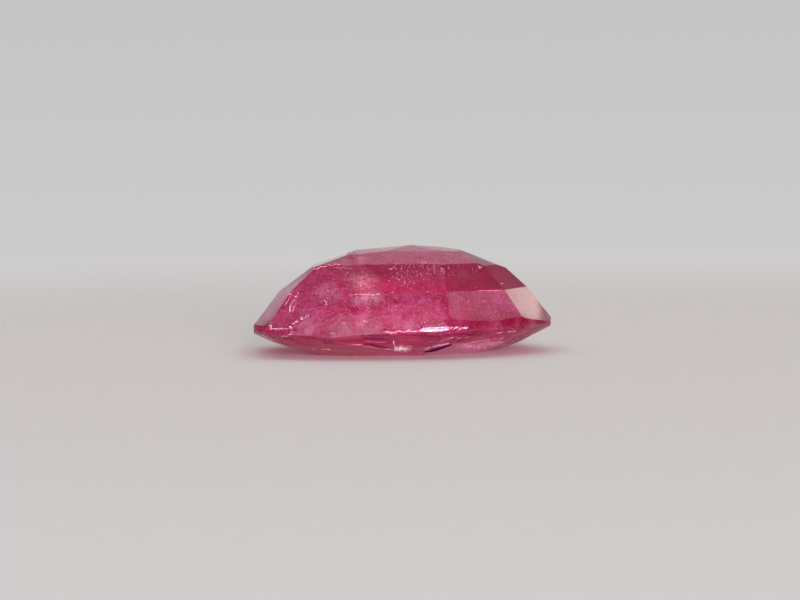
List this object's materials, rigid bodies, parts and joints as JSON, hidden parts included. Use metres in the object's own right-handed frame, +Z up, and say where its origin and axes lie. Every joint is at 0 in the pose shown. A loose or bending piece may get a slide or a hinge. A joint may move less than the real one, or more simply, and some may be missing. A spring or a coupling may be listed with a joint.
{
  "type": "sapphire",
  "caption": "Loose cut pink sapphire with a cushion outline, a stepped pavilion and a low crown, lying on its flat table.",
  "frame": {"origin": "middle of the stone's outline, at the height of the table, the flat face that it rests on", "axes": "+X along the length, +Y away from the viewer, +Z up, from the table to the culet"},
  "size_m": [0.0086, 0.0072, 0.0031],
  "materials": {
    "sapphire": "clear polished facets with a frosted girdle"
  },
  "bodies": {
    "root": {"sapphire": "sapphire"}
  },
  "joints": []
}
